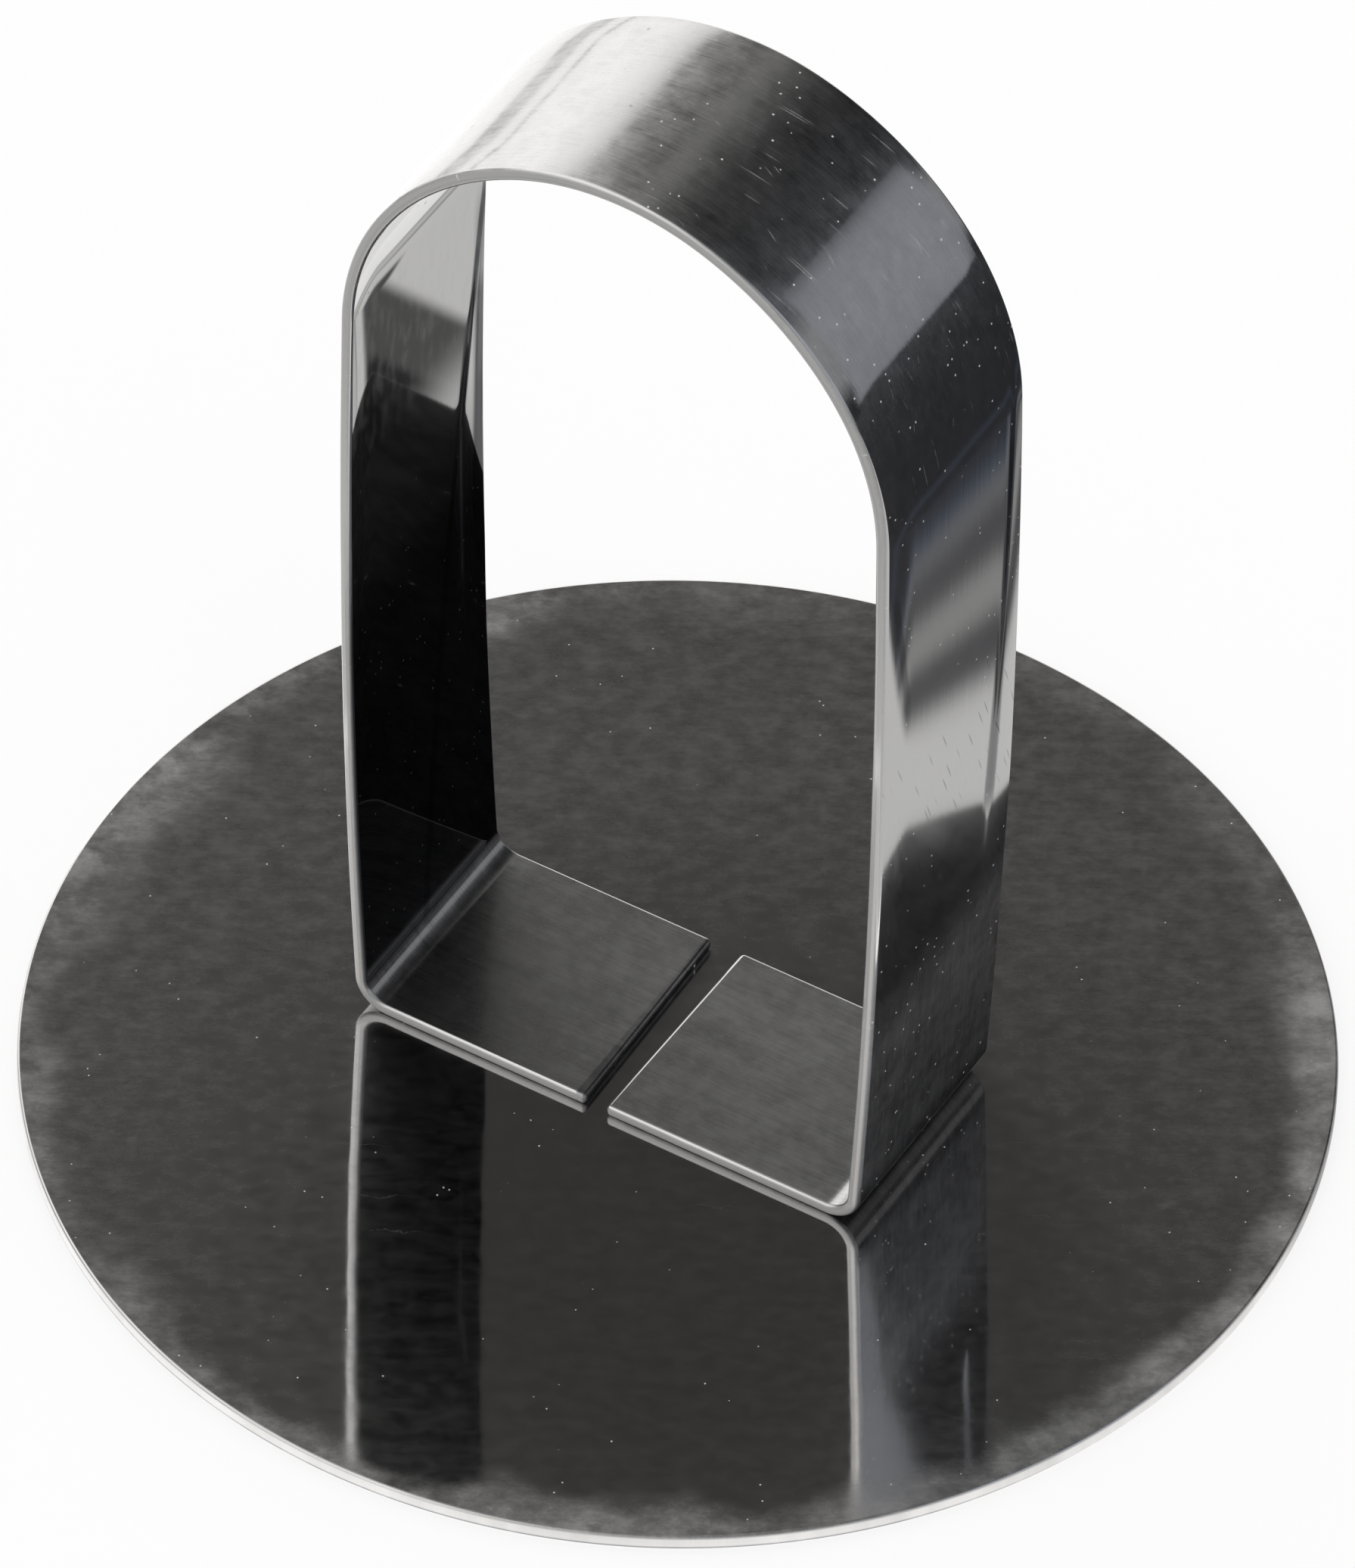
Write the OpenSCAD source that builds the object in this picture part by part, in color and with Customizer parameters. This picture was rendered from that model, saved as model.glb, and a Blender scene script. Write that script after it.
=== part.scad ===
// Pusher plate of a round pastry cutter.
// A flat round plate drops into the cutting ring and pushes the dough or the filling out.
// One bent strap, spot-welded to the middle of the plate, makes its arched handle.
// Millimetres. +Z is up and Z = 0 is the plate's underside, with the plate's middle at X = Y = 0.
// The handle spans along X, and the strap is wide along Y.

/* [Plate] */
// Diameter of the round plate
plate_d = 78; // [60:1:110]
// Thickness of the plate
plate_t = 1; // [0.8:0.1:2]
// Radius that rounds both edges of the plate's rim
plate_edge_r = 0.2; // [0.1:0.05:0.35]

/* [Handle] */
// Height of the whole part, from the plate's underside to the top of the arch
overall_h = 75.3; // [64:0.1:95]
// Outer width of the handle where its legs stand widest apart
handle_span = 36.7; // [30:0.1:46]
// Height above the plate's underside where the legs stand widest apart
widest_z = 40; // [32:1:46]
// Radius of the slight outward bow of each leg
leg_bow_r = 675; // [400:25:1200]
// How much smaller the outer radius of the crown is than half the span
crown_tuck = 2.25; // [1.5:0.05:4]
// How much larger the outer radius of each shoulder is than half the span
shoulder_ease = 1.1; // [0.2:0.1:3]

/* [Strap] */
// Width of the strap
strap_w = 15; // [11:0.5:20]
// Thickness of the strap
strap_t = 0.8; // [0.6:0.1:1.2]
// Radius that rounds the strap's four long edges
strap_edge_r = 0.25; // [0.1:0.05:0.25]
// Inner radius of the bend at the foot of each leg
bend_inner_r = 1.5; // [0.8:0.1:4]
// How much thinner the metal is at each face where it is bent tightly: the shoulders and the feet
bend_thinning = 0.01; // [0.01:0.01:0.03]

/* [Feet] */
// Gap between the ends of the two inward-turned feet
foot_gap = 2.1; // [1:0.1:6]
// How far the middle of the gap lies from the middle of the handle, along the span
gap_shift = -0.6; // [-2:0.1:2]

/* [Placing] */
// How far the handle sits from the plate's middle, along the span
handle_shift_x = -0.7; // [-3:0.1:3]
// How far the handle sits from the plate's middle, across the span
handle_shift_y = 0.3; // [-3:0.1:3]

/* [Spot welds] */
// Diameter of a weld nugget
weld_d = 3.2; // [2:0.1:4.5]
// Distance between the centres of the two nuggets of a foot
weld_pitch = 7; // [5:0.5:8]
// Depth to which a nugget reaches into the plate
weld_plate_depth = 0.4; // [0.2:0.1:0.6]
// Height to which a nugget reaches into the foot
weld_foot_depth = 0.4; // [0.2:0.1:0.4]

/* [Hidden] */

// Facets of a full circle: the plate's rim, an arch, a leg's bow, a foot bend and a rounded edge
rim_fn = 180;
arch_fn = 144;
bow_fn = 720;
bend_fn = 60;
edge_fn = 16;
weld_fn = 32;

// How far each bent length of the strap runs on inside the next, so that they fuse
lap = 0.05;

half_span = handle_span / 2;
bend_outer_r = bend_inner_r + strap_t;
crown_r = half_span - crown_tuck;
shoulder_r = half_span + shoulder_ease;

// The strap's outer outline is a chain of arcs that meet in common tangents. Each centre is [x, z]
// on the right half of the handle, and each angle is that of the outward normal above +X.
leg_c = [half_span - leg_bow_r, widest_z];
crown_c = [0, overall_h - crown_r];

// The crown and the leg fix the shoulder between them: its centre closes a triangle on theirs
leg_to_crown = norm(crown_c - leg_c);
leg_to_shoulder = leg_bow_r - shoulder_r;
shoulder_to_crown = shoulder_r - crown_r;
crown_bearing = atan2(crown_c[1] - leg_c[1], crown_c[0] - leg_c[0]);
shoulder_swing = acos((pow(leg_to_shoulder, 2) + pow(leg_to_crown, 2) - pow(shoulder_to_crown, 2))
                      / (2 * leg_to_shoulder * leg_to_crown));
leg_top_a = crown_bearing - shoulder_swing;
shoulder_c = leg_c + leg_to_shoulder * [cos(leg_top_a), sin(leg_top_a)];
shoulder_top_a = atan2(crown_c[1] - shoulder_c[1], crown_c[0] - shoulder_c[0]);

// The bend touches the plate's top face below and the leg's bow above
leg_foot_a = -asin((widest_z - plate_t - bend_outer_r) / (leg_bow_r - bend_outer_r));
bend_c = leg_c + (leg_bow_r - bend_outer_r) * [cos(leg_foot_a), sin(leg_foot_a)];

// Ends of the two feet at the gap, measured from the middle of the handle
right_foot_x = gap_shift + foot_gap / 2;
left_foot_x = gap_shift - foot_gap / 2;

// Middles of the flat parts of the two feet, where the welds are
weld_x = [(left_foot_x - bend_c[0]) / 2, (right_foot_x + bend_c[0]) / 2];

// Cross-section of the strap: x runs through its thickness, y along its width
module strap_section(thinning = 0) {
    flat_t = strap_t - 2 * strap_edge_r;
    flat_w = strap_w - 2 * strap_edge_r;
    square([flat_t, strap_w - 2 * thinning], center = true);
    square([strap_t - 2 * thinning, flat_w], center = true);
    for (x = [-1, 1], y = [-1, 1])
        translate([x * flat_t / 2, y * flat_w / 2])
            circle(r = strap_edge_r - thinning, $fn = edge_fn);
}

// Strap bent along an arc in the XZ plane, with outer radius r and normals from angle a to angle b
module strap_arc(c, r, a, b, fn, thinning = 0) {
    lap_a = lap / r * 180 / PI;
    translate([c[0], 0, c[1]])
        rotate([90, 0, 0])
            rotate_extrude(angle = b - a + 2 * lap_a, start = a - lap_a, $fn = fn)
                translate([r - strap_t / 2, 0]) strap_section(thinning);
}

// Straight strap lying on the plate from x0 to x1
module strap_foot(x0, x1) {
    translate([x0, 0, plate_t + strap_t / 2])
        rotate([90, 0, 90])
            linear_extrude(x1 - x0) rotate(90) strap_section();
}

// One half of the handle without its foot: shoulder, bowed leg and bend
module strap_side() {
    strap_arc(shoulder_c, shoulder_r, leg_top_a, shoulder_top_a, arch_fn, bend_thinning);
    strap_arc(leg_c, leg_bow_r, leg_foot_a, leg_top_a, bow_fn);
    strap_arc(bend_c, bend_outer_r, -90, leg_foot_a, bend_fn, bend_thinning);
}

// One weld nugget, fused half into the plate and half into the foot above it
module weld_nugget(index) {
    foot = floor((index - 1) / 2);
    side = (index - 1) % 2 == 0 ? -1 : 1;
    translate([handle_shift_x + weld_x[foot], handle_shift_y + side * weld_pitch / 2,
               plate_t - weld_plate_depth])
        cylinder(d = weld_d, h = weld_plate_depth + weld_foot_depth, $fn = weld_fn);
}

module weld_nuggets() {
    for (index = [1 : 4]) weld_nugget(index);
}

// Right half of the plate's section, with both rim edges rounded
module plate_section() {
    plate_r = plate_d / 2;
    inner_r = plate_r - plate_edge_r;
    square([inner_r, plate_t]);
    translate([0, plate_edge_r]) square([plate_r, plate_t - 2 * plate_edge_r]);
    for (z = [plate_edge_r, plate_t - plate_edge_r])
        translate([inner_r, z]) circle(r = plate_edge_r, $fn = edge_fn);
}

// Polished round plate that pushes the dough
module press_plate() {
    color([0.42, 0.41, 0.4])
        difference() {
            rotate_extrude($fn = rim_fn) plate_section();
            weld_nuggets();
        }
}

// Arched handle, bent from one strap, with its two feet turned inwards on the plate
module handle_strap() {
    color([0.72, 0.72, 0.71])
        difference() {
            translate([handle_shift_x, handle_shift_y, 0]) {
                strap_arc(crown_c, crown_r, shoulder_top_a, 180 - shoulder_top_a, arch_fn);
                strap_side();
                mirror([1, 0, 0]) strap_side();
                strap_foot(right_foot_x, bend_c[0] + lap);
                strap_foot(-bend_c[0] - lap, left_foot_x);
            }
            weld_nuggets();
        }
}

module spot_weld(index) {
    color([0.55, 0.54, 0.53]) weld_nugget(index);
}

press_plate();
handle_strap();
spot_weld(1);  // spot_weld_1
spot_weld(2);  // spot_weld_2
spot_weld(3);  // spot_weld_3
spot_weld(4);  // spot_weld_4
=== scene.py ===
# %% [markdown]
# # A pusher plate for a round pastry cutter
# A thin round plate of polished steel pushes dough out of a cutting ring. One bent strap of the
# same steel is its handle, and the two are spot-welded. There is no colour, grip or screw to
# draw, so the picture lives on bent metal that mirrors a studio, and on the dull, scratched and
# dusty film that handling leaves on it.
#
# The exact solids come first, as a fixed frame in metres. Everything below is placed from them.

# %% Load the exact solids
import math

import bpy
import numpy as np
from mathutils import Matrix, Vector


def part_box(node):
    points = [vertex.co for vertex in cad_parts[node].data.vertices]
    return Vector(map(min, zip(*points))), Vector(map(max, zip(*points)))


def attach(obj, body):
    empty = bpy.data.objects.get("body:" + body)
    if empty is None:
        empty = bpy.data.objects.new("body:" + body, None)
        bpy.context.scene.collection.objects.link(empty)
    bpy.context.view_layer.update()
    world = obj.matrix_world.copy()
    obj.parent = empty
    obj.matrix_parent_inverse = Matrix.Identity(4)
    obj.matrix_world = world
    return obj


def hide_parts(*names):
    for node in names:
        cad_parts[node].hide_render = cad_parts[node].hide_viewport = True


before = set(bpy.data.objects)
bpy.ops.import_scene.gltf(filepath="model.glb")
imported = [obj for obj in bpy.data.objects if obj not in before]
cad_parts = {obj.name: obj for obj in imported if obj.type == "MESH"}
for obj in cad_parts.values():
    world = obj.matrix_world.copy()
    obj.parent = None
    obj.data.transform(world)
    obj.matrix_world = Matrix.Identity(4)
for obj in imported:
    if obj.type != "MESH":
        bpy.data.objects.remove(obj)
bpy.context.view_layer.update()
MM = 0.001

for name in sorted(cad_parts):
    low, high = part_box(name)
    size = (high - low) / MM
    print(f"{name}: {size.x:.2f} x {size.y:.2f} x {size.z:.2f} mm, from z = {low.z / MM:.2f}")

# %% [markdown]
# ## Camera
# The object is photographed from above, thirty degrees round from its front, with a long lens
# from nearly a metre away. A long lens keeps the handle's two legs almost parallel. The camera
# is placed by the angles round a point near the plate's axis, and then turned a little about its
# own sight line, because the photograph was not held quite level.

# %% Camera from its angles
view_azimuth = math.radians(30.61)
view_elevation = math.radians(45.51)
view_roll = math.radians(0.885)
view_distance = 877.6 * MM
view_target = Vector((-0.217, -0.128, 22.876)) * MM
lens_length = 402.0
sensor_width = 36.0

to_camera = Vector((
    math.sin(view_azimuth) * math.cos(view_elevation),
    -math.cos(view_azimuth) * math.cos(view_elevation),
    math.sin(view_elevation),
))
level_right = Vector((math.cos(view_azimuth), math.sin(view_azimuth), 0))
level_up = to_camera.cross(level_right)
camera_right = level_right * math.cos(view_roll) + level_up * math.sin(view_roll)
camera_up = to_camera.cross(camera_right)

camera_data = bpy.data.cameras.new("studio_camera")
camera_data.lens = lens_length
camera_data.sensor_width = sensor_width
camera_data.sensor_fit = "HORIZONTAL"
camera_data.clip_start = 0.05
camera_data.clip_end = 20
camera = bpy.data.objects.new("studio_camera", camera_data)
camera.matrix_world = Matrix.Translation(view_target + to_camera * view_distance) @ Matrix(
    (camera_right, camera_up, to_camera)
).transposed().to_4x4()
bpy.context.scene.collection.objects.link(camera)
bpy.context.scene.camera = camera
print("camera at", [round(v / MM, 1) for v in camera.location], "mm")

# %% [markdown]
# ## A mesh helper
# Both pieces are sheet metal with rounded edges, and a mirror finish shows every fault in a
# mesh. So each mesh gets the exact normals of the surface that it stands for, rather than ones
# averaged from its faces. It also carries a few numbers on its points, such as the distance
# along the strap, which the finishes read later.

# %% Grid mesh with exact normals
def grid_mesh(name, rings, normals, closed, marks):
    """A mesh from rings of points. Each ring is joined to the next, and a ring is itself
    closed. With closed=True the last ring joins the first, and otherwise the ends are capped."""
    rings = np.asarray(rings, float)
    normals = np.asarray(normals, float)
    n_rings, n_points = rings.shape[:2]
    index = np.arange(n_rings * n_points).reshape(n_rings, n_points)
    faces = []
    for a in range(n_rings if closed else n_rings - 1):
        this, following = index[a], index[(a + 1) % n_rings]
        for b in range(n_points):
            c = (b + 1) % n_points
            faces.append((this[b], this[c], following[c], following[b]))
    if not closed:
        faces.append(tuple(index[0][::-1]))
        faces.append(tuple(index[-1]))
    first, second, fourth = (rings.reshape(-1, 3)[faces[0][k]] for k in (0, 1, 3))
    if np.dot(np.cross(second - first, fourth - first), normals[0, 0]) < 0:
        faces = [face[::-1] for face in faces]
    mesh = bpy.data.meshes.new(name)
    mesh.from_pydata(rings.reshape(-1, 3) * MM, [], faces)
    mesh.polygons.foreach_set("use_smooth", [True] * len(mesh.polygons))
    for mark, values in marks.items():
        layer = mesh.attributes.new(mark, "FLOAT", "POINT")
        layer.data.foreach_set("value", np.asarray(values, float).ravel())
    mesh.update()
    if mesh.validate():
        print(name, "had faces that needed mending")
    unit = normals.reshape(-1, 3)
    unit = unit / np.linalg.norm(unit, axis=1)[:, None]
    mesh.normals_split_custom_set_from_vertices([tuple(n) for n in unit])
    piece = bpy.data.objects.new(name, mesh)
    bpy.context.scene.collection.objects.link(piece)
    print(f"{name}: {len(mesh.vertices)} points, {len(mesh.polygons)} faces")
    return piece


# %% [markdown]
# ## The handle's outline
# The handle was bent from a flat strap, so its side view is a chain of arcs that run smoothly
# into each other: crown, shoulder, a leg with a slight bow, the small bend at the foot, and the
# straight foot. A Bezier curve with a bevel could draw it, but arcs keep the real radii, so the
# outline is walked arc by arc. The same lengths as the solid's are used, in millimetres.

# %% Sizes of the handle
plate_thickness = 1.0
plate_radius = 39.0
plate_edge_radius = 0.2
overall_height = 75.3
half_span = 36.7 / 2
widest_height = 40.0
leg_bow_radius = 675.0
crown_tuck = 2.25
shoulder_ease = 1.1
strap_width = 15.0
strap_thickness = 0.8
strap_edge_radius = 0.25
bend_inner_radius = 1.5
end_round = 0.25
end_skew = 0.36
foot_gap = 2.1
gap_shift = -0.6
handle_shift = Vector((-0.7, 0.3, 0))

crown_radius = half_span - crown_tuck
shoulder_radius = half_span + shoulder_ease
bend_radius = bend_inner_radius + strap_thickness
crown_centre = np.array([0, overall_height - crown_radius])
leg_centre = np.array([half_span - leg_bow_radius, widest_height])


# %% Where the arcs meet
def bearing(angle):
    return np.array([math.cos(angle), math.sin(angle)])


across = crown_centre - leg_centre
leg_to_crown = math.hypot(*across)
leg_to_shoulder = leg_bow_radius - shoulder_radius
shoulder_to_crown = shoulder_radius - crown_radius
swing = math.acos(
    (leg_to_shoulder ** 2 + leg_to_crown ** 2 - shoulder_to_crown ** 2)
    / (2 * leg_to_shoulder * leg_to_crown)
)
leg_top = math.atan2(across[1], across[0]) - swing
shoulder_centre = leg_centre + leg_to_shoulder * bearing(leg_top)
shoulder_top = math.atan2(*(crown_centre - shoulder_centre)[::-1])
leg_foot = -math.asin(
    (widest_height - plate_thickness - bend_radius) / (leg_bow_radius - bend_radius)
)
bend_centre = leg_centre + (leg_bow_radius - bend_radius) * bearing(leg_foot)
print(f"shoulder from {math.degrees(leg_top):.2f} to {math.degrees(shoulder_top):.2f} degrees")


# %% Walk the outline from the top of the crown to the end of a foot
def walk_arc(centre, radius, start, stop, steps):
    """Points on the outer face, each with its normal and a turn of 0, without the last point."""
    angles = np.linspace(start, stop, steps + 1)[:-1]
    return [(*(centre + radius * bearing(a)), *bearing(a), 0.0) for a in angles]


def half_outline(foot_end):
    """The last points of a foot stand for its rounded end, and their last number is the angle
    by which the rounding has turned there."""
    walk = walk_arc(crown_centre, crown_radius, math.pi / 2, shoulder_top, steps=24)
    walk += walk_arc(shoulder_centre, shoulder_radius, shoulder_top, leg_top, steps=72)
    walk += walk_arc(leg_centre, leg_bow_radius, leg_top, leg_foot, steps=60)
    walk += walk_arc(bend_centre, bend_radius, leg_foot, -math.pi / 2, steps=36)
    for x in np.linspace(bend_centre[0], foot_end + end_round, 24):
        walk.append((x, plate_thickness, 0.0, -1.0, 0.0))
    for turned in np.radians((15, 30, 45, 60, 75, 90)):
        x = foot_end + end_round * (1 - math.sin(turned))
        walk.append((x, plate_thickness, 0.0, -1.0, turned))
    return np.array(walk)


right_half = half_outline(gap_shift + foot_gap / 2)
left_half = half_outline(foot_gap / 2 - gap_shift) * [-1, 1, -1, 1, 1]
outline = np.vstack([left_half[::-1], right_half[1:]])
steps = np.linalg.norm(np.diff(outline[:, :2], axis=0), axis=1)
along = np.concatenate([[0], np.cumsum(steps)])
print(f"the strap's outer face is {along[-1]:.1f} mm long, with {len(outline)} sections")

# %% [markdown]
# ## The strap's section
# The strap is cut from sheet and tumbled, so its long edges are rounded. In the photograph these
# edges are the brightest lines on the handle, because a rounded edge mirrors a wide arc of the
# room at once. Shearing also bends the last few millimetres of the sheet inwards at the near
# edge, rounds the outer face at the far edge, and leaves a faint crease beside it. Nobody sees
# that as shape, but it bends every reflection that comes near an edge, so the section has it:
# each face's slope is written as a function of the place across the width, and its height is the
# running sum of that slope. The crease runs out to the far edge as the strap climbs.

# %% Slope of the sheet across its width
roll_near_start = 4.7
roll_near_slope = 9.0
roll_near_power = 1.4
roll_far_start = 5.3
roll_far_slope = 8.0
crease_width = 0.24
crease_slope = 9.0
crease_limits = (4.7, 7.6)
left_crease = (7.15, 55.3, 0.15)
right_crease = (6.0, 52, 0.05)


def line_at(line, z):
    """Place across the strap, at height z, of a line that climbs it. The line is its place at
    one height, that height, and its step sideways for each millimetre that it climbs."""
    place, height, step = line
    return place - (height - z) * step


def crease_place(x, z):
    low, high = crease_limits
    return min(max(line_at(left_crease if x < 0 else right_crease, z), low), high)


def face_slope(v, face, place, roll_share, crease_share):
    """Degrees by which a face falls towards the far edge, at v mm across the strap. The face is
    1 outside and -1 inside."""
    half_w = strap_width / 2
    near = np.clip((-roll_near_start - v) / (half_w - roll_near_start), 0, 1)
    far = np.clip((v - roll_far_start) / (half_w - roll_far_start), 0, 1)
    crease = np.exp(-((v - place) / crease_width) ** 2)
    roll = -roll_near_slope * near ** roll_near_power + face * roll_far_slope * far
    return roll * roll_share - face * crease_slope * crease_share * crease


# %% Section of the strap
def rounded_section(place, roll_share, crease_share, corner_steps=6):
    """Points (through the thickness, across the width) with normals, the outer face first."""
    radius = strap_edge_radius
    reach = strap_width / 2 - radius
    v = np.concatenate([
        np.linspace(-reach, -4, 16), np.linspace(-3, 4, 8), np.linspace(4.5, reach, 26),
    ])

    def face(sign):
        slope = np.radians(face_slope(v, sign, place, roll_share, crease_share))
        steps = np.diff(v) * np.tan(slope[1:] / 2 + slope[:-1] / 2)
        drop = np.concatenate([[0], np.cumsum(steps)])
        height = sign * strap_thickness / 2 + np.interp(0, v, drop) - drop
        return slope, np.stack([height, v, sign * np.cos(slope), sign * np.sin(slope)], axis=1)

    slope_out, outer = face(1)
    slope_in, inner = face(-1)

    def corner(face, end, turns):
        """Arc round a long edge. turns runs from the face's own normal to the cut face's."""
        sign = 1 if end else -1
        u = face[end, 0] - radius * math.cos(turns[0])
        v = reach - radius * math.sin(turns[0])
        return np.array([
            (u + radius * math.cos(a), sign * (v + radius * math.sin(a)),
             math.cos(a), sign * math.sin(a))
            for a in turns[1:]
        ])

    square = math.pi / 2
    near_out = corner(outer, 0, np.linspace(-slope_out[0], square, corner_steps + 1))
    far_out = corner(outer, -1, np.linspace(slope_out[-1], square, corner_steps + 1))
    near_in = corner(inner, 0, np.linspace(math.pi - slope_in[0], square, corner_steps + 1))
    far_in = corner(inner, -1, np.linspace(math.pi + slope_in[-1], square, corner_steps + 1))
    return np.vstack([near_out[::-1], outer, far_out, far_in[::-1], inner[::-1], near_in])


# Heights, and the share of the rolled edges and of the crease that the strap has there
roll_shares = ((3, 12, 27, 37, 52, 64), (0.1, 0.25, 0.7, 1, 1, 0.6))
crease_shares = ((20, 27, 54, 64), (0, 1, 1, 0.06))


def section_at(x, z):
    roll_share, crease_share = np.interp(z, *roll_shares), np.interp(z, *crease_shares)
    return rounded_section(crease_place(x, z), roll_share, crease_share)


leg_section = section_at(half_span, widest_height)
print(f"section of {len(leg_section)} points, {np.ptp(leg_section[:, 0]):.2f} mm deep,",
      f"{leg_section[:, 1].min():.2f} to {leg_section[:, 1].max():.2f} mm across")


# %% Sweep the section along the outline
def sweep_strap():
    """The section changes from foot to leg to arch. The last rings of each foot turn inwards,
    so that its end is rounded too, and the ends were cut a little askew. The mark "edge" is 1 on
    the cut edges and fades out over their rounded corners."""
    rings, normals, distance, side, edge = [], [], [], [], []
    middle = outline[:, :2] - outline[:, 2:4] * strap_thickness / 2
    count = len(leg_section)
    faces = np.where(np.arange(count) < count // 2, 1.0, -1.0)
    for (x, z), (nx, nz, turned), s in zip(middle, outline[:, 2:], along):
        section = section_at(x, z)
        inset = end_round * (1 - math.cos(turned))
        u = np.copysign(np.maximum(np.abs(section[:, 0]) - inset, 0), section[:, 0])
        v = np.copysign(np.maximum(np.abs(section[:, 1]) - inset, 0), section[:, 1])
        to_gap = np.array([np.sign(gap_shift - x), 0, 0])
        near_end = np.clip(1 - abs(x - gap_shift) / bend_centre[0], 0, 1) if z < 2 else 0
        askew = to_gap[0] * end_skew * near_end * (0.5 - v / strap_width)
        rings.append(np.stack([x + u * nx + askew, v, z + u * nz], axis=1))
        sideways = np.stack([section[:, 2] * nx, section[:, 3], section[:, 2] * nz], axis=1)
        normals.append(sideways * math.cos(turned) + to_gap * math.sin(turned))
        distance.append([s] * count)
        side.append(faces)
        edge.append(np.clip(np.abs(section[:, 3]) * 3 - 1.8, 0, 1) * math.cos(turned))
    shifted = np.array(rings) + np.array(handle_shift)
    marks = {"along": distance, "side": side, "edge": edge}
    return grid_mesh("bent_strap", shifted, normals, False, marks)


strap = sweep_strap()
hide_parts("handle_strap")
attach(strap, "root")

# %% [markdown]
# ## The plate
# The plate is a blank stamped from sheet, and its rim is rounded so that it slides in the ring.
# The rim is only a millimetre high, but it shows as a bright line all round the plate, so it is
# turned as a fine lathe shape with its own exact normals.

# %% Turn the plate's section round its axis
axis_radius = 0.01
face_radii = (axis_radius, 6, 12, 18, 24, 30, 35)


def turn_plate(steps_round=720, corner_steps=8):
    """All sections would meet in one point on the axis, so they stop a hundredth of a millimetre
    short of it. The right foot hides the pinhole."""
    inner = plate_radius - plate_edge_radius
    corners = (
        (plate_thickness - plate_edge_radius, math.pi / 2, 0),
        (plate_edge_radius, 0, -math.pi / 2),
    )
    profile = [(radius, plate_thickness, 0, 1) for radius in face_radii]
    for middle, start, stop in corners:
        for a in np.linspace(start, stop, corner_steps + 1):
            out, up = math.cos(a), math.sin(a)
            point = (inner + plate_edge_radius * out, middle + plate_edge_radius * up)
            profile.append((*point, out, up))
    profile += [(radius, 0, 0, -1) for radius in reversed(face_radii)]
    rings, normals = [], []
    for k in range(steps_round):
        c, s = math.cos(2 * math.pi * k / steps_round), math.sin(2 * math.pi * k / steps_round)
        rings.append([(r * c, r * s, z) for r, z, _, _ in profile])
        normals.append([(nr * c, nr * s, nz) for _, _, nr, nz in profile])
    return grid_mesh("round_plate", rings, normals, True, {})


plate = turn_plate()
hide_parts("press_plate")
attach(plate, "root")

# %% [markdown]
# ## A way to write finishes
# A finish is sums on numbers that vary over the surface. Drawn as nodes by hand, such sums are
# hard to read, so a small class wraps a node's socket and gives it Python's operators. Each
# operator adds the node that does its sum. The sky and the floor are written in the same way.

# %% Sockets with operators
class Wire:
    """A socket of a node tree. Sums on it add Math nodes, and add() makes any other node."""

    def __init__(self, tree, socket=None):
        self.tree = tree
        self.socket = socket

    def add(self, kind, settings=None, sockets=None, out=0):
        node = self.tree.nodes.new(kind)
        for name, value in (settings or {}).items():
            if name == "stops":
                while len(node.color_ramp.elements) < len(value):
                    node.color_ramp.elements.new(1.0)
                for element, (place, colour) in zip(node.color_ramp.elements, value):
                    element.position = place
                    element.color = (*colour, 1.0)
            else:
                setattr(node, name, value)
        for name, value in (sockets or {}).items():
            if isinstance(value, Wire):
                self.tree.links.new(value.socket, node.inputs[name])
            else:
                node.inputs[name].default_value = value
        return Wire(self.tree, node.outputs[out] if node.outputs else None)

    def out(self, name):
        return Wire(self.tree, self.socket.node.outputs[name])

    def sum(self, operation, a, b=0.0):
        return self.add("ShaderNodeMath", {"operation": operation}, {0: a, 1: b})

    def __add__(self, other):
        return self.sum("ADD", self, other)

    def __radd__(self, other):
        return self.sum("ADD", other, self)

    def __sub__(self, other):
        return self.sum("SUBTRACT", self, other)

    def __rsub__(self, other):
        return self.sum("SUBTRACT", other, self)

    def __mul__(self, other):
        return self.sum("MULTIPLY", self, other)

    def __truediv__(self, other):
        return self.sum("DIVIDE", self, other)

    def __pow__(self, other):
        return self.sum("POWER", self, other)

    def __abs__(self):
        return self.sum("ABSOLUTE", self)

    def fade(self, start, stop, low=0.0, high=1.0):
        """Runs smoothly from low at start to high at stop, and stays there beyond them."""
        return self.add(
            "ShaderNodeMapRange", {"interpolation_type": "SMOOTHSTEP", "clamp": True},
            {"Value": self, "From Min": start, "From Max": stop, "To Min": low, "To Max": high},
        )


# %% Colours and materials
def mixed(a, b, share):
    """Colour a where share is 0, and colour b where it is 1."""
    return share.add("ShaderNodeMix", {"data_type": "RGBA"}, {0: share, 6: a, 7: b}, out=2)


def new_finish(name):
    """An empty material, and a Wire on its nodes."""
    material = bpy.data.materials.new(name)
    material.use_nodes = True
    material.node_tree.nodes.clear()
    return material, Wire(material.node_tree)


# %% [markdown]
# ## The studio
# Polished steel has almost no look of its own: it shows its surroundings. The photograph has a
# dark ceiling over the plate, white walls on the left that flare on the arch, a dull blue-grey
# wall on the right, and a pale table. Softboxes could be modelled for each, but for one small
# object a sky that is painted by direction does the same. Low on the left the wall is duller, or
# the plate would be white on white from the side. Diffuse rays get an even pale light.

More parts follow.
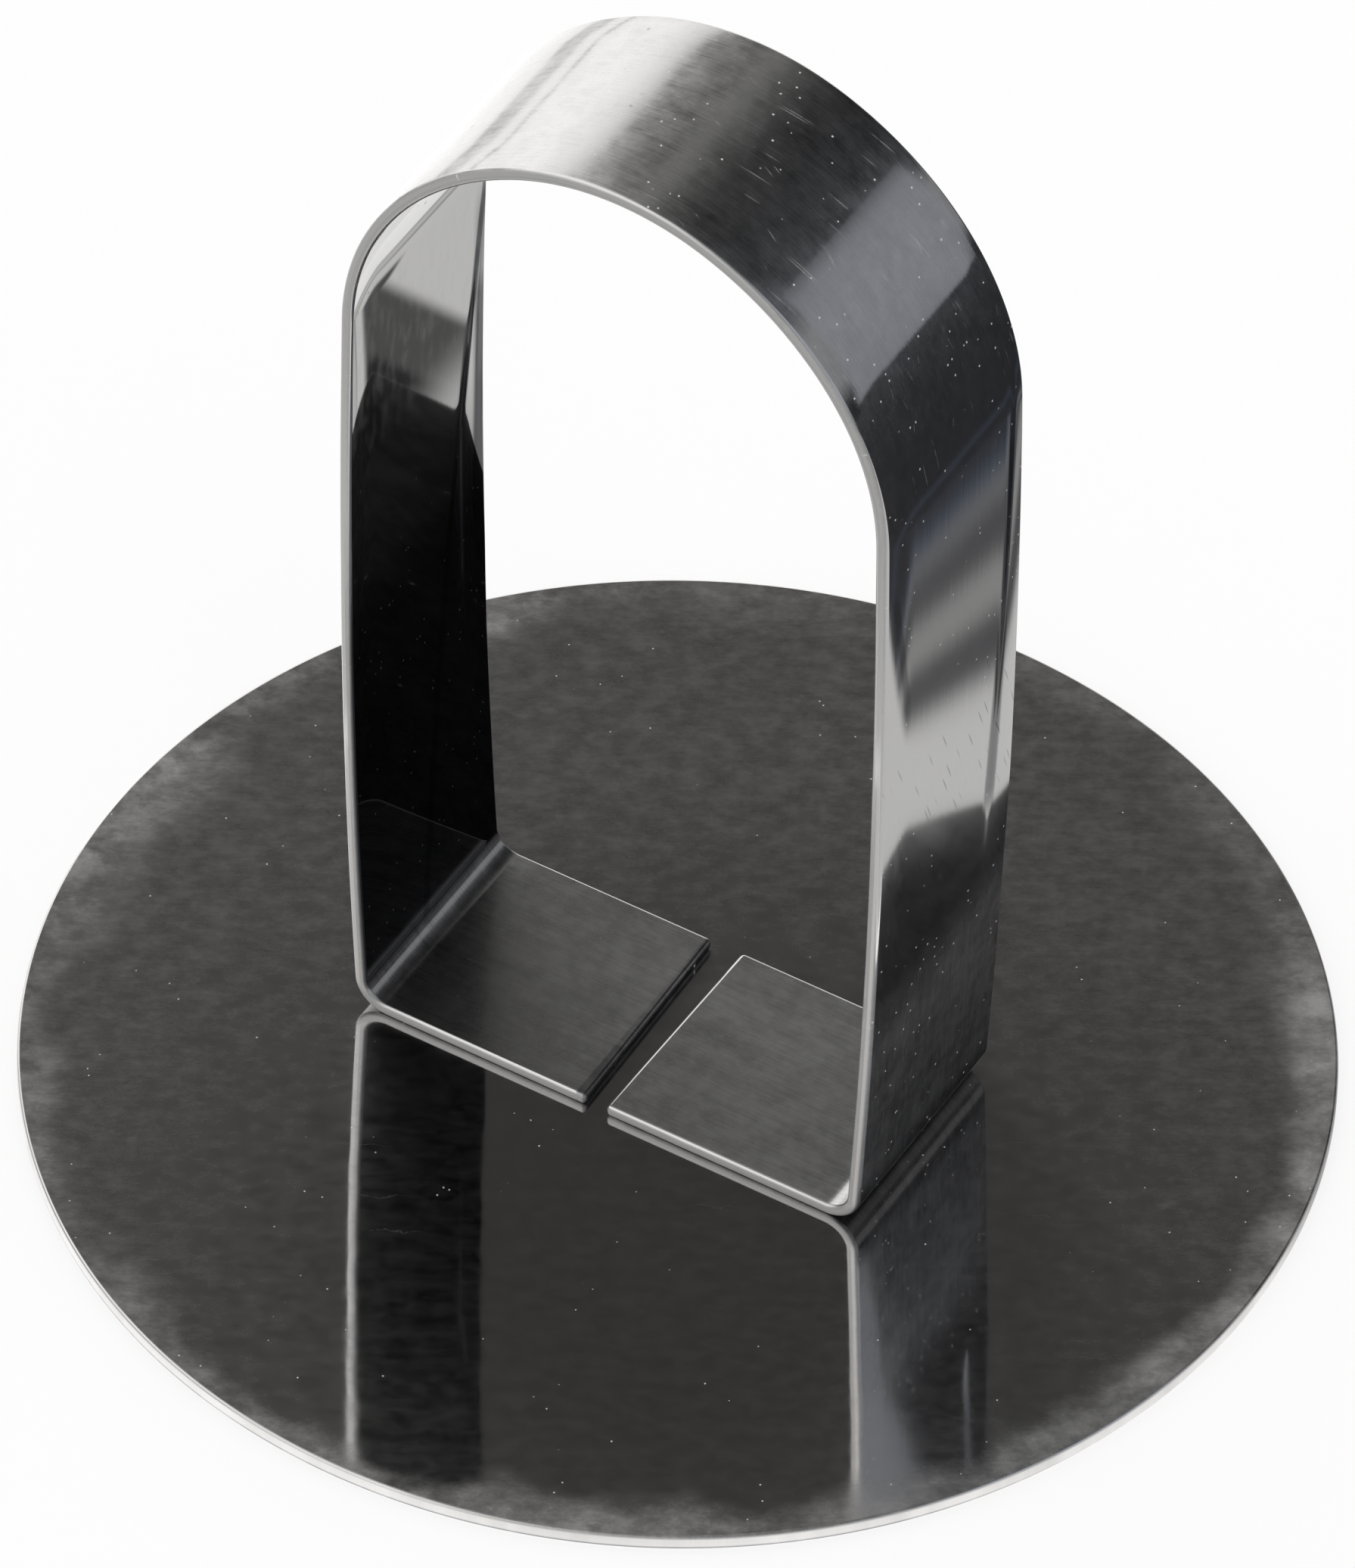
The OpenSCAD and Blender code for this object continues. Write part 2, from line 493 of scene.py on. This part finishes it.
# %% Sky painted by direction, as the metal sees it
world = bpy.data.worlds.new("studio")
bpy.context.scene.world = world
world.use_nodes = True
world.node_tree.nodes.clear()
sky = Wire(world.node_tree)
aim = sky.add("ShaderNodeTexCoord", out="Generated")
parts = aim.add("ShaderNodeSeparateXYZ", sockets={0: aim})
turn = parts.sum("ARCTAN2", parts.out("Z"), parts.out("X")) / (2 * math.pi) + 0.5


def turn_stop(degrees, colour):
    """Stop of a ramp that runs from the right (0 degrees) over the top (90) to the left (180)."""
    return (0.5 + degrees / 360, colour)


black = (0.003, 0.003, 0.0035)
overhead = (0.044, 0.043, 0.042)
high_lamp = (0.19, 0.19, 0.186)
low_lamp = (0.3, 0.3, 0.305)
white_wall = (1.35, 1.34, 1.33)
blue_wall = (0.5, 0.54, 0.6)
dull_wall = (0.36, 0.36, 0.365, 1)
behind = sky.add("ShaderNodeValToRGB", {"stops": [
    turn_stop(0, black),
    turn_stop(5, black),
    turn_stop(12, low_lamp),
    turn_stop(30, low_lamp),
    turn_stop(40, black),
    turn_stop(85, black),
    turn_stop(97, (0.05, 0.05, 0.048)),
    turn_stop(104, high_lamp),
    turn_stop(109, high_lamp),
    turn_stop(112, overhead),
    turn_stop(116, overhead),
    turn_stop(119, (0.06, 0.059, 0.057)),
    turn_stop(123, (0.12, 0.119, 0.117)),
    turn_stop(133.5, (0.1, 0.099, 0.097)),
    turn_stop(137, (0.75, 0.75, 0.74)),
    turn_stop(141, (1.15, 1.15, 1.13)),
    turn_stop(155, white_wall),
    turn_stop(180, white_wall),
]}, {0: turn})
beside = sky.add("ShaderNodeValToRGB", {"stops": [
    turn_stop(0, (0.1, 0.1, 0.1)),
    turn_stop(12, blue_wall),
    turn_stop(42, blue_wall),
    turn_stop(60, (0.06, 0.06, 0.07)),
    turn_stop(100, (0.15, 0.15, 0.15)),
    turn_stop(135, white_wall),
    turn_stop(180, white_wall),
]}, {0: turn})
before = sky.add("ShaderNodeValToRGB", {"stops": [
    turn_stop(0, (0.45, 0.45, 0.46)),
    turn_stop(70, (0.3, 0.3, 0.3)),
    turn_stop(105, (1.25, 1.25, 1.24)),
    turn_stop(180, white_wall),
]}, {0: turn})

depth = parts.out("Y")
sky_colour = mixed(mixed(behind, beside, depth.fade(0.52, 0.3)), before, depth.fade(-0.1, -0.45))
low_left = parts.out("Z").fade(0.5, 0.35) * parts.out("X").fade(-0.3, -0.6) * depth.fade(0.3, 0.1)
sky_colour = mixed(sky_colour, dull_wall, low_left)
rays = sky.add("ShaderNodeLightPath", out="Is Camera Ray")
matt_rays = rays + rays.out("Is Diffuse Ray")
mirrored = sky.add("ShaderNodeBackground", sockets={"Color": sky_colour, "Strength": 1.0})
plain = sky.add("ShaderNodeBackground", sockets={"Color": (1, 1, 1, 1), "Strength": 1.0})
shown = sky.add("ShaderNodeMixShader", sockets={0: matt_rays, 1: mirrored, 2: plain})
sky.add("ShaderNodeOutputWorld", sockets={"Surface": shown})
print("the sky has", len(world.node_tree.nodes), "nodes")

# %% [markdown]
# ## A grey card
# A painted sky is endlessly far away, so it looks the same from the arch and from the feet. The
# soft blue-grey band on the arch comes from something near, because the low bends hardly show
# it. It is a small card beside the top of the arch, bright at its lower edge and fading upwards.
# Only the metal sees it.

# %% Card
card_distance = 60.0
card_half_width = 13.0
card_edge_bearings = (-1.5, 50.0)
card_dark_height = 109
card_blue_height = 98
card_dark = (0.017, 0.018, 0.02, 1)
card_blue = (0.32, 0.335, 0.37, 1)
arch_side = np.array((11.3, 0.3, 68.0))
card_mesh = bpy.data.meshes.new("grey_card")
corners = []
for degrees in card_edge_bearings:
    along_x, along_z = bearing(math.radians(degrees)) * math.hypot(to_camera.x, to_camera.z)
    edge_middle = arch_side + card_distance * np.array((along_x, -to_camera.y, along_z))
    corners += [edge_middle + (0, side * card_half_width, 0) for side in (-1, 1)]
card_mesh.from_pydata([corners[k] * MM for k in (0, 1, 3, 2)], [], [(0, 1, 2, 3)])
card = bpy.data.objects.new("grey_card", card_mesh)
bpy.context.scene.collection.objects.link(card)
card.visible_camera = card.visible_diffuse = card.visible_shadow = False
card_material, paper = new_finish("grey_card")
spot = paper.add("ShaderNodeNewGeometry", out="Position")
height = spot.add("ShaderNodeSeparateXYZ", sockets={0: spot}).out("Z") / MM
shade = mixed(card_dark, card_blue, height.fade(card_dark_height, card_blue_height))
lit = paper.add("ShaderNodeEmission", sockets={"Color": shade, "Strength": 1.0})
paper.add("ShaderNodeOutputMaterial", sockets={"Surface": lit})
card_mesh.materials.append(card_material)
print("card corners", [[round(float(v)) for v in corner] for corner in corners], "mm")

# %% [markdown]
# ## The floor
# A plain pale sheet lies under the plate, and the camera sees it white with a soft shadow. The
# legs mirror it too, so the photograph's tabletop is painted on it for the metal alone. Strips
# that fan out behind the plate make the slanting bands in the right leg. The left leg shows the
# brighter left side of the sheet, a duller strip with two dark lines, and the dark ring just
# outside the rim. At the front the sheet is bright beside the rim, which makes the rim shine.

# %% Pale floor
floor_half = 3.0
floor_drop = 0.03 * MM
floor_corners = ((-1, -1), (1, -1), (1, 1), (-1, 1))
floor_mesh = bpy.data.meshes.new("pale_floor")
floor_mesh.from_pydata(
    [(x * floor_half, y * floor_half, -floor_drop) for x, y in floor_corners], [], [(0, 1, 2, 3)],
)
floor = bpy.data.objects.new("pale_floor", floor_mesh)
bpy.context.scene.collection.objects.link(floor)
print(f"floor {2 * floor_half:.0f} m wide, {floor_drop / MM:.2f} mm under the plate")

# %% Strips that fan out behind the plate
floor_material, sheet = new_finish("pale_sheet")
spot = sheet.add("ShaderNodeNewGeometry", out="Position")
spot_parts = spot.add("ShaderNodeSeparateXYZ", sockets={0: spot})
east = spot_parts.out("X") / MM
north = spot_parts.out("Y") / MM
fan_east, fan_north = 50, 1.5
fan = sheet.sum("ARCTAN2", north - fan_north, east - fan_east) / math.pi


def fan_stop(degrees, colour):
    """Stop of a ramp round the middle of the fan, from east (0 degrees) by north to west (180)."""
    return (degrees / 180, colour)


bare_sheet = (0.66, 0.66, 0.655)
dark_room = (0.025, 0.026, 0.03)
dark_strip = (0.07, 0.07, 0.075)
strips = sheet.add("ShaderNodeValToRGB", {"stops": [
    fan_stop(0, bare_sheet),
    fan_stop(3, (0.035, 0.036, 0.04)),
    fan_stop(76, dark_room),
    fan_stop(80, (0.045, 0.055, 0.075)),
    fan_stop(83, dark_room),
    fan_stop(92, (0.03, 0.031, 0.036)),
    fan_stop(93.1, (0.045, 0.075, 0.13)),
    fan_stop(93.9, (0.17, 0.175, 0.185)),
    fan_stop(95.1, (0.2, 0.2, 0.205)),
    fan_stop(96.8, dark_strip),
    fan_stop(99.4, dark_strip),
    fan_stop(101.4, (0.32, 0.32, 0.32)),
    fan_stop(104.2, (0.33, 0.33, 0.325)),
    fan_stop(106.8, dark_strip),
    fan_stop(110.6, dark_strip),
    fan_stop(114.2, (0.6, 0.6, 0.595)),
    fan_stop(117, bare_sheet),
]}, {0: fan})
strips = mixed(strips, (*bare_sheet, 1), north.fade(31, 28))
print("strips of the floor:", len(floor_material.node_tree.nodes), "nodes")

# %% Brighter and duller places of the floor
west = (east - north * 0.05) * -1
back_side = north.fade(-12, 6)
left_sheet = west.fade(7.6, 8.6) * 0.3 + west.fade(30, 60) * 0.42
dull_strip = west.fade(2.6, 3.4) * west.fade(8.6, 7.6)
line_near, line_far = 3.4, 8.0
dark_lines = abs(west - line_near).fade(1.2, 0.3) + abs(west - line_far).fade(1.2, 0.3)
dark_lines = dark_lines * north.fade(38, 48, 0.25, 1)
far_left = east.fade(-210, -250) * east.fade(-620, -420)
far_front = north.fade(-42, -62)
from_middle = (east * east + north * north) ** 0.5
behind_plate = east.fade(20, 12) * east.fade(3, 6.3) * north.fade(10, 20)
# Behind the plate the sheet is darker out to about 47 mm from the axis. Within 40.4 mm it is a
# tenth darker still, which is a painted contact shadow next to the rim.
dark_ring_and_contact_shadow = from_middle.fade(47.5, 45.9) * 0.86 + from_middle.fade(41.6, 40.4) * 0.1
beside_rim = from_middle.fade(44, 41) * north.fade(12, 0)
glow = 1 + back_side * (left_sheet / bare_sheet[0] - dull_strip * 0.14 - dark_lines * 0.35)
glow = glow * (1 - far_left * 0.6) * (1 - far_front * 0.4)
glow = glow * (1 - dark_ring_and_contact_shadow * behind_plate) * (1 + beside_rim * 1.3)
print("with its bright and dull places:", len(floor_material.node_tree.nodes), "nodes")

# %% Floor material
white_share = 0.72
glowing = sheet.add("ShaderNodeVectorMath", {"operation": "SCALE"}, {0: strips, "Scale": glow})
in_metal = sheet.add("ShaderNodeEmission", sockets={"Color": glowing, "Strength": 1.0})
matt = sheet.add("ShaderNodeBsdfDiffuse", sockets={"Color": (0.97, 0.97, 0.97, 1)})
bright = sheet.add("ShaderNodeEmission", sockets={"Color": (1, 1, 1, 1), "Strength": 1.0})
to_eye = sheet.add("ShaderNodeMixShader", sockets={0: white_share, 1: matt, 2: bright})
camera_ray = sheet.add("ShaderNodeLightPath", out="Is Camera Ray")
floor_look = sheet.add("ShaderNodeMixShader", sockets={0: camera_ray, 1: in_metal, 2: to_eye})
sheet.add("ShaderNodeOutputMaterial", sockets={"Surface": floor_look})
floor_mesh.materials.append(floor_material)
print("the floor's material has", len(floor_material.node_tree.nodes), "nodes")

# %% [markdown]
# ## Parts of a finish
# Bare steel is never one even grey. It carries soft clouds where it was wiped, fine parallel
# grain from the polishing belt, short scratches and grains of dust. Each is a small function
# of a place in millimetres, so its real size can be read in the code. Clouds are noise. Scratches
# and dust are cells of a Voronoi texture, stretched long for a scratch, and only some cells
# are kept. Plate and strap are each mixed from a sharp mirror, a dull film and pale dust.

# %% Clouds, grain, scratches and dust
def at_place(steel):
    place = steel.add("ShaderNodeTexCoord", out="Object")
    cut = place.add("ShaderNodeSeparateXYZ", sockets={0: place})
    return [cut.out(axis) / MM for axis in "XYZ"]


def vector(x, y, z=0.0):
    return next(v for v in (x, y, z) if isinstance(v, Wire)).add(
        "ShaderNodeCombineXYZ", sockets={0: x, 1: y, 2: z})


def cloud(at, size, low=0.4, high=0.6, detail=4.0, coarse=0.55):
    """Soft patches of about that size, from 0 to 1."""
    noise = at.add("ShaderNodeTexNoise", sockets={
        "Vector": at, "Scale": 1 / size, "Detail": detail, "Roughness": coarse}, out="Fac")
    return noise.fade(low, high)


def marks_on(u, w, long, wide, share, seed, reach=0.13):
    """Short marks along u. share is the part of the cells that holds one, and reach is half of
    a mark's size in its cell, so a larger reach packs the marks closer."""
    cell = vector(u * (2 * reach / long) + seed, w * (2 * reach / wide), seed)
    cells = cell.add("ShaderNodeTexVoronoi", {"voronoi_dimensions": "3D"}, {
        "Vector": cell, "Scale": 1.0, "Randomness": 1.0}, out="Distance")
    pick = cells.add("ShaderNodeSeparateColor", sockets={0: cells.out("Color")}, out=0)
    return cells.fade(reach, reach * 0.35) * pick.fade(1 - share, 1 - share + 0.001)


def bumped(height, depth_mm):
    return height.add("ShaderNodeBump", sockets={
        "Height": height, "Distance": depth_mm * MM, "Strength": 1.0}, out="Normal")


def mix_steel(steel, film, sharp, dull, dust):
    """Ends a material: film is the share of the dull steel, and dust lies over both."""
    dusty = steel.add("ShaderNodeBsdfPrincipled", sockets={
        "Base Color": (0.72, 0.71, 0.69, 1), "Metallic": 0.0, "Roughness": 0.9,
    })
    bare = steel.add("ShaderNodeMixShader", sockets={0: film, 1: sharp, 2: dull})
    whole = steel.add("ShaderNodeMixShader", sockets={0: dust, 1: bare, 2: dusty})
    steel.add("ShaderNodeOutputMaterial", sockets={"Surface": whole})


# %% [markdown]
# ## The plate's finish
# The plate is polished like a mirror, and years of washing have left a dull film on it. The film
# is thin in the middle and thickest in a cloudy band along the rim, where the polish wore off,
# but less so at the back and at the front left. A duller film isn't only a rougher mirror: it
# still reflects sharply under a soft grey veil. So the finish mixes two steels, one sharp and
# one dull, and the film is the share of the dull one. Its grain runs across the camera's view.

# %% Textures of the plate
polished, steel = new_finish("polished_steel")
x, y, z = at_place(steel)
radius = (x * x + y * y) ** 0.5
u = x * math.cos(view_azimuth) + y * math.sin(view_azimuth)
w = y * math.cos(view_azimuth) - x * math.sin(view_azimuth)
flat = vector(x, y)
wide_cloud = cloud(flat, 14, 0.36, 0.66, 3)
fine_cloud = cloud(vector(x, y, 40.0), 2.2, 0.35, 0.7, 6, 0.65)
patchy = cloud(flat, 1.1, 0.3, 0.7)
mottle = cloud(vector(u * 0.6, w, 50.0), 1.0, 0.32, 0.72, 6, 0.7)
speckle = cloud(vector(u * 0.6, w, 80.0), 0.35, 0.55, 0.8, 3, 0.6)
grain = cloud(vector(u * 0.12, w, 9.0), 0.16, 0.3, 0.7, 2, 0.6)
wipes = marks_on(u + w * 0.5 + wide_cloud * 2, w - u * 0.4, long=7, wide=0.8, share=0.16, seed=3.0)
hairs = marks_on(u + w * 0.2, w + fine_cloud * 0.5, long=5, wide=0.07, share=0.05, seed=17.0)
dust = marks_on(x, y, long=0.15, wide=0.15, share=0.02, seed=29.0, reach=0.2)
print("textures of the plate:", len(polished.node_tree.nodes), "nodes")

# %% Film on the plate
back_left = (y * 0.6 - x).fade(12, 38)
front_left = (x + y * 1.2).fade(-47, -58)
clear_back = y.fade(18, 32) * x.fade(-26, -18) * x.fade(32, 26)
rim_start = 36.8 - wide_cloud * 3.2 + fine_cloud * 1.0 - back_left * 1.2
band = ((radius - rim_start) / (plate_radius - rim_start)).fade(0.0, 0.8)
band = band * (0.28 + wide_cloud * 0.4 + fine_cloud * 0.35 - back_left * 0.18)
band = band * (1 - clear_back * 0.7) * (1 - front_left * 0.4)
from_clean = (u * u + (w + 18) * (w + 18)) ** 0.5
veil = (0.02 + from_clean.fade(9, 46) * 0.33) * x.fade(-10, -28, 1.0, 0.88)
smudge = u.fade(12, 17) * u.fade(19.6, 18.8) * w.fade(-3, -8)
cut_edge = radius.fade(plate_radius - 0.06, plate_radius - 0.01)
unevenness = 0.5 + fine_cloud * 0.35 + mottle * 0.45 + speckle * 0.25 + grain * 0.12
film = veil * unevenness + mottle * 0.08
film = film + band * (0.4 + fine_cloud * 0.15 + mottle * 0.15 + speckle * 0.2)
film = film + wipes * patchy * (0.12 + back_left * 0.2) + hairs * 0.25
film = film + smudge * (0.02 + mottle * 0.03) + cut_edge * (0.5 + fine_cloud * 0.2)
print("with the film:", len(polished.node_tree.nodes), "nodes")

# %% Polished steel
# Painted contact shade: a thin darker line at the foot of the rim, on the front side only.
contact_shade = z.fade(0.32, 0.12) * y.fade(-12, -26)
ripple = bumped(grain * 0.1 + cloud(flat, 5, 0.2, 0.8, 1) * 3, 0.0012)
satin_edge, shaded_edge = (0.7, 0.69, 0.68, 1), (0.25, 0.25, 0.26, 1)
sharp = steel.add("ShaderNodeBsdfPrincipled", sockets={
    "Base Color": (0.64, 0.63, 0.62, 1), "Metallic": 1.0,
    "Roughness": 0.035 + band * 0.1 + fine_cloud * 0.02, "Normal": ripple,
})
dull = steel.add("ShaderNodeBsdfPrincipled", sockets={
    "Base Color": mixed(satin_edge, shaded_edge, contact_shade * cut_edge), "Metallic": 1.0,
    "Roughness": 0.3 + band * 0.25 + cut_edge * 0.2,
})
mix_steel(steel, film, sharp, dull, dust * 0.8)
plate.data.materials.append(polished)
print("polished steel:", len(polished.node_tree.nodes), "nodes")

# %% [markdown]
# ## The strap's finish
# Fingers hold the strap from outside, so its outer face is brushed and scratched, while the
# inner face of the legs is still clear and black, and low down its black is painted shade. The
# belt ran along the strap, so the grain follows the length that each point carries. Grain is far
# finer than a pixel, and what the eye sees is how it spreads light across itself: a fine bump
# does that for the arch. The cut edges are sheared metal, satin and pale. The scratches catch the
# light like dust and lie in its layer. Dirt leaves dark spots and scores, and an uneven tone on
# the arch. Painted shade darkens the outside under the bends, the nooks at the feet and the left
# foot's end, and painted dark lines along the crease and the edges stand in for dark reflections.

# %% Zones and textures of the strap
brushed, steel = new_finish("strap_steel")
x, y, z = at_place(steel)
length = steel.add("ShaderNodeAttribute", {"attribute_name": "along"}, out="Fac")
side = steel.add("ShaderNodeAttribute", {"attribute_name": "side"}, out="Fac")
edge = steel.add("ShaderNodeAttribute", {"attribute_name": "edge"}, out="Fac")
v = y - handle_shift.y
outer = side.fade(-0.2, 0.2)
arch = z.fade(54, 64)
crown = z.fade(69, 74.5)
foot = z.fade(3.2, 2.0)
# The nooks are the inner corners of the feet. They get a thicker film, and in the sum below they
# are also darkened as painted shade.
nook = abs(x - handle_shift.x).fade(12.5, 15.5) * foot * (1 - outer)
left_inner = x.fade(0, -4) * (1 - outer)
right_outer = x.fade(0, 4) * outer
around = vector(length, y, side * 7)
wide_cloud = cloud(around, 9, 0.36, 0.66, 3)
fine_cloud = cloud(around, 1.6, 0.35, 0.68, 6, 0.65)
grain = cloud(vector(length * 0.05, y, side * 3), 0.12, 0.25, 0.75, 2, 0.6)
coarse_grain = cloud(vector(length * 0.05, y, side * 3 + 5), 0.6, 0.3, 0.7, 2, 0.6)
speckle = cloud(vector(length * 0.4, y, side * 5), 0.3, 0.55, 0.8, 3, 0.6)
mottle = cloud(vector(length * 0.6, y, 20.0), 0.6, 0.3, 0.7, 6, 0.7)
print("zones and textures of the strap:", len(brushed.node_tree.nodes), "nodes")

# %% Film, scratches and dust on the strap
handled = abs(z - 9).fade(12, 5) * z.fade(2.6, 4.6, 0.4, 1.0)
top_film = arch * (x.fade(17.5, 11.5, 0.04, 0.27) + x.fade(6, 1) * 0.09) + crown * 0.2
held_outside = outer * (0.06 + top_film + handled * 0.42)
held_inside = (foot * (0.34 - x.fade(0, -8) * 0.07) + nook * 0.2) * (1 - outer)
held = held_outside + held_inside + 0.001
film = held * (0.4 + wide_cloud * 0.3 + fine_cloud * 0.5 + coarse_grain * 0.2 + grain * 0.4)
film = film + (outer * (0.08 + arch * 0.12) + 0.004) * speckle * cloud(around, 6)
film = film + outer * arch * (mottle - 0.4) * 0.13
dark_corner = left_inner * v.fade(7.0, 7.3) * z.fade(50, 47)
film = film + edge * (0.62 + fine_cloud * 0.1) * (1 - dark_corner * 0.8)
wisps = cloud(vector(length * 0.35, y, 12.0), 0.7, 0.42, 0.75, 3) * z.fade(42, 49) * z.fade(59, 55)
film = film + wisps * left_inner * 0.14
scuffs = marks_on(
    length + y * 0.15, y - length * 0.1, long=3.0, wide=0.1, share=0.15, seed=5.0, reach=0.3)
scuffs = scuffs + marks_on(
    length - y * 0.6, y + length * 0.35, long=1.4, wide=0.09, share=0.05, seed=23.0, reach=0.3)
scuffs = scuffs * outer * (0.05 + arch * 0.17) * fine_cloud.fade(0.1, 0.7)
dust = marks_on(length, y, long=0.19, wide=0.19, share=0.16, seed=31.0, reach=0.2)
dust = dust * (0.1 + outer * 0.9)
print("with film, scratches and dust:", len(brushed.node_tree.nodes), "nodes")

# %% Grime and painted shade on the strap
# Painted dark reflections: thin dark lines along the crease of each leg and the near edge of the
# right leg, and a dark strip by the far edge inside the left leg.
near_mark = (-6.9, 54, -0.15)
left_line = abs(v - line_at(left_crease, z)).fade(0.4, 0.16)
left_line = left_line * z.fade(42, 47, 0.3, 1.0) * left_inner
right_width = z.fade(50, 28, 0.22, 0.45)
right_line = abs(v - line_at(right_crease, z)).fade(right_width + 0.25, right_width - 0.1)
right_line = right_line * z.fade(24, 28) * z.fade(60, 52) * right_outer
near_line = abs(v - line_at(near_mark, z)).fade(0.5, 0.15) * abs(z - 47.5).fade(6, 3) * right_outer
far_strip = v.fade(5.8, 6.6) * (z.fade(49.5, 47) + z.fade(57, 53)) * z.fade(24, 30) * left_inner
# Painted shade: the lower inner face of the legs, the outside of the low bends, and the end face
# of the left foot at the gap.
shade_inside_legs = (1 - outer) * z.fade(2.45, 2.7) * z.fade(43, 29)
shade_under_bends = outer * z.fade(5.0, 4.0)
shade_on_left_end = x.fade(-2.75, -2.6) * x.fade(-1.6, -1.8) * z.fade(2.6, 2.2)
spots = marks_on(length, y, long=0.3, wide=0.3, share=0.09, seed=47.0, reach=0.2)
spots = spots * z.fade(55, 60) * x.fade(2, -6)
scores = marks_on(
    length + y * 0.5, y - length * 0.4, long=2.4, wide=0.15, share=0.25, seed=61.0, reach=0.3)
scores = scores * abs(z - 33).fade(7, 4) * right_outer
# The dark steel is mixed in by dirt (spots, scores, the arch's uneven tone) and by painted shade
# (the lines, the lower insides, the bends, the left foot's end and the nooks).
grime_and_shade = left_line * 0.8 + right_line * 0.75 + near_line * 0.6
grime_and_shade = grime_and_shade + spots * 0.8 + scores * 0.5 + far_strip * 0.45
grime_and_shade = grime_and_shade + outer * arch * (0.12 - grain * 0.12 + (1 - fine_cloud) * 0.14)
grime_and_shade = grime_and_shade + shade_inside_legs * 0.92 + shade_under_bends * 0.9 + shade_on_left_end * 0.95 + nook * 0.4
print("with grime:", len(brushed.node_tree.nodes), "nodes")

# %% Strap steel
clean_steel, grimy_and_shaded_steel = (0.66, 0.655, 0.65, 1), (0.05, 0.052, 0.06, 1)
satin_edge, foot_edge = (0.74, 0.735, 0.73, 1), (0.5, 0.5, 0.5, 1)
brushing = grain * (0.05 + outer * arch * 0.25) + coarse_grain * outer * (0.22 + arch * 0.05)
sharp = steel.add("ShaderNodeBsdfPrincipled", sockets={
    "Base Color": mixed(clean_steel, grimy_and_shaded_steel, grime_and_shade), "Metallic": 1.0,
    "Roughness": 0.04 + outer * 0.04 + foot * (1 - outer) * 0.13,
    "Normal": bumped(brushing, 0.0022),
})
dull = steel.add("ShaderNodeBsdfPrincipled", sockets={
    "Base Color": mixed(satin_edge, foot_edge, foot * edge), "Metallic": 1.0,
    "Roughness": 0.36 + edge * 0.14,
})
mix_steel(steel, film, sharp, dull, dust * 0.8 + scuffs)
strap.data.materials.append(brushed)
print("strap steel:", len(brushed.node_tree.nodes), "nodes")

# %% [markdown]
# ## The welds
# A spot weld is hidden between foot and plate. It still gets the look of fused steel, grey and
# slightly pitted, for anyone who takes the part to pieces.

# %% Weld metal
fused, steel = new_finish("weld_metal")
x, y, z = at_place(steel)
pits = cloud(vector(x, y, z), 0.25, 0.3, 0.7, 5, 0.6)
shine = steel.add("ShaderNodeBsdfPrincipled", sockets={
    "Base Color": (0.5, 0.49, 0.48, 1), "Metallic": 1.0,
    "Roughness": 0.35 + pits * 0.25, "Normal": bumped(pits, 0.02),
})
steel.add("ShaderNodeOutputMaterial", sockets={"Surface": shine})
for name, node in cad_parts.items():
    if name.startswith("spot_weld"):
        node.data.materials.clear()
        node.data.materials.append(fused)
print("weld metal on", sum(name.startswith("spot_weld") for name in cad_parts), "welds")

# %% View settings
bpy.context.scene.view_settings.view_transform = "Standard"
